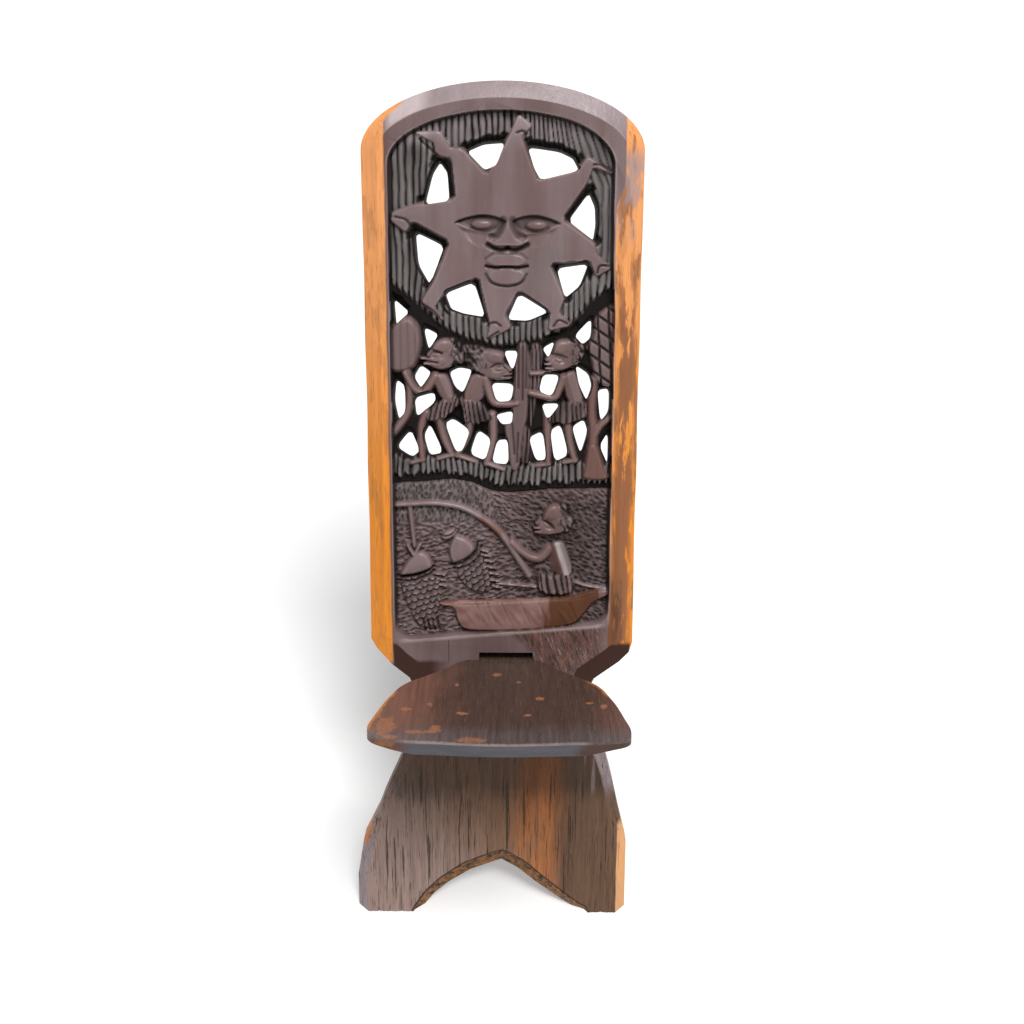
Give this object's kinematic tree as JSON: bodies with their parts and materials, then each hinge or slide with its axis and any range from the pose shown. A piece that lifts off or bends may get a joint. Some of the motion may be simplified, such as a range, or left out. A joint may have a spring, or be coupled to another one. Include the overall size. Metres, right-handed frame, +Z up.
{
  "type": "birthing chair",
  "caption": "Low take-apart chair: a leaning carved and pierced back plank with a splayed arched foot, and a seat plank whose tongue passes through a slot to the floor.",
  "frame": {"origin": "on the floor, under the middle of the assembled chair's box", "axes": "+Z up; the front of the chair, where a sitter's legs go, faces -Y; +X is to the right of someone looking at its front"},
  "size_m": [0.3486, 0.8133, 0.9131],
  "materials": {
    "carved_wood": "dark oiled heartwood with orange sapwood edges and burnt black grounds",
    "seat_wood": "dark oiled heartwood, worn through to orange brown in patches"
  },
  "bodies": {
    "back": {"back_plank": "carved_wood"},
    "seat": {"seat_plank": "seat_wood"}
  },
  "joints": [
    {"name": "seat_slide", "type": "slide", "parent": "back", "child": "seat", "axis": [0, -0.8829, 0.4695], "range_m": [0, 0.68]}
  ]
}
